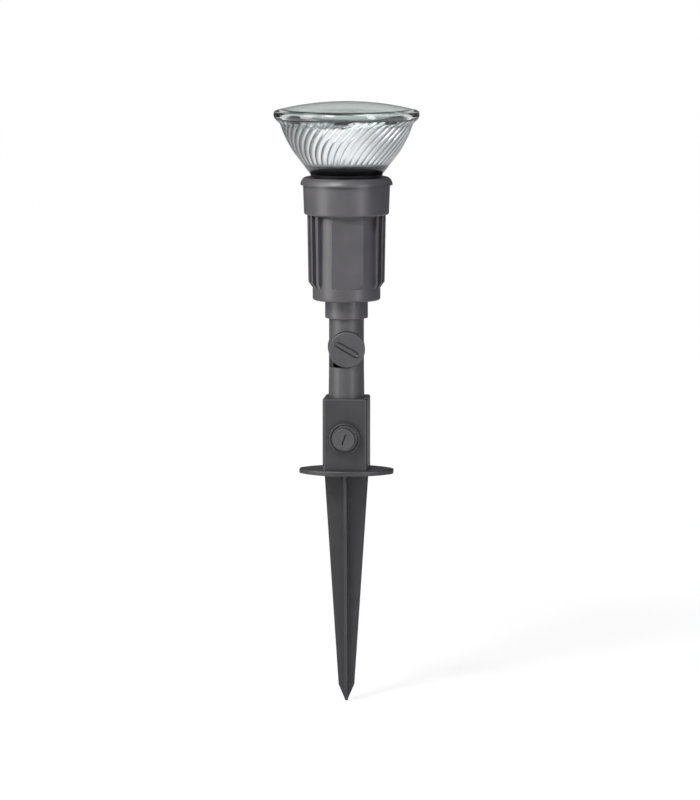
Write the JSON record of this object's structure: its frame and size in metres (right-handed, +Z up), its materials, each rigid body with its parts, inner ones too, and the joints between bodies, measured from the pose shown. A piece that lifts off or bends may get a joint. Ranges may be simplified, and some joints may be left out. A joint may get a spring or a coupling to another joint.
{
  "type": "garden spike spotlight",
  "caption": "Garden spotlight on a bladed ground spike: reflector lamp in a ribbed holder with a collar, on a tilting, panning knuckle.",
  "frame": {"origin": "ground line: centre of the flange's underside, where the spike enters the soil", "axes": "+Z up along the spike and the lamp, -Y to the front with the clamp screw, +X to the right"},
  "size_m": [0.097, 0.097, 0.4028],
  "materials": {
    "spike_plastic": "anthracite glass-filled plastic, satin, fine spark texture",
    "arm_plastic": "anthracite moulded plastic, satin",
    "body_plastic": "anthracite moulded plastic, satin, fine texture",
    "fitting_plastic": "anthracite moulded plastic, a little smoother",
    "strip_plastic": "natural polyamide",
    "seal_rubber": "black silicone rubber, smooth",
    "fibre": "red-brown vulcanised fibre",
    "lead_insulation": "silicone-insulated leads",
    "lamp_glass": "pressed clear glass with a faint green edge",
    "quartz": "clear quartz",
    "silvering": "aluminium coating over twisted flutes",
    "porcelain": "white glazed porcelain",
    "black_glass": "black vitrified insulator",
    "brass": "plain brass",
    "nickel": "nickel plated",
    "lamp_aluminium": "drawn aluminium",
    "zinc_steel": "zinc-plated steel",
    "tungsten": "coiled tungsten"
  },
  "bodies": {
    "spike": {"spike_moulding": "spike_plastic", "clamp_insert": "brass", "cable_gland": "fitting_plastic", "gland_nut": "fitting_plastic", "gland_bush": "seal_rubber"},
    "clamp": {"clamp_screw": "fitting_plastic"},
    "arm": {"lower_arm": "arm_plastic", "arm_leads": "lead_insulation", "terminal_strip": "strip_plastic", "terminal_screws": "zinc_steel", "pivot_bolt": "zinc_steel", "friction_disc": "fibre"},
    "knob": {"clamp_knob": "fitting_plastic", "knob_insert": "brass"},
    "head": {"upper_arm": "arm_plastic", "knob_washer": "zinc_steel", "lamp_body": "body_plastic", "neck_screw": "zinc_steel", "holder_bracket": "zinc_steel", "bracket_screws": "zinc_steel", "holder_shell": "porcelain", "holder_screws": "zinc_steel", "holder_thread": "nickel", "centre_contact": "brass", "holder_terminals": "brass", "holder_terminal_screws": "zinc_steel", "head_leads": "lead_insulation", "lamp_seal": "seal_rubber"},
    "collar": {"collar_ring": "body_plastic"},
    "lamp": {"lamp_lens": "lamp_glass", "lamp_bowl": "lamp_glass", "reflector_coating": "silvering", "lamp_capsule": "quartz", "capsule_leads": "nickel", "filament": "tungsten", "lamp_skirt": "lamp_aluminium", "lamp_cap": "nickel", "cap_insulator": "black_glass", "cap_contact": "nickel"}
  },
  "joints": [
    {"name": "arm_pan", "type": "hinge", "parent": "spike", "child": "arm", "pos_m": [0, 0, 0.0517], "axis": [0, 0, 1], "range_deg": [-170, 170]},
    {"name": "clamp_turn", "type": "hinge", "parent": "spike", "child": "clamp", "pos_m": [0, -0.0147, 0.0254], "axis": [0, -1, 0], "continuous": true},
    {"name": "head_tilt", "type": "hinge", "parent": "arm", "child": "head", "pos_m": [0, 0, 0.0843], "axis": [0.1045, -0.9945, 0], "range_deg": [0, 90]},
    {"name": "knob_turn", "type": "hinge", "parent": "arm", "child": "knob", "pos_m": [0, 0, 0.0843], "axis": [0.1045, -0.9945, 0], "continuous": true},
    {"name": "collar_turn", "type": "hinge", "parent": "head", "child": "collar", "pos_m": [0, 0, 0.19], "axis": [0, 0, 1], "continuous": true},
    {"name": "lamp_turn", "type": "hinge", "parent": "head", "child": "lamp", "pos_m": [0, 0, 0.2], "axis": [0, 0, 1], "continuous": true}
  ]
}
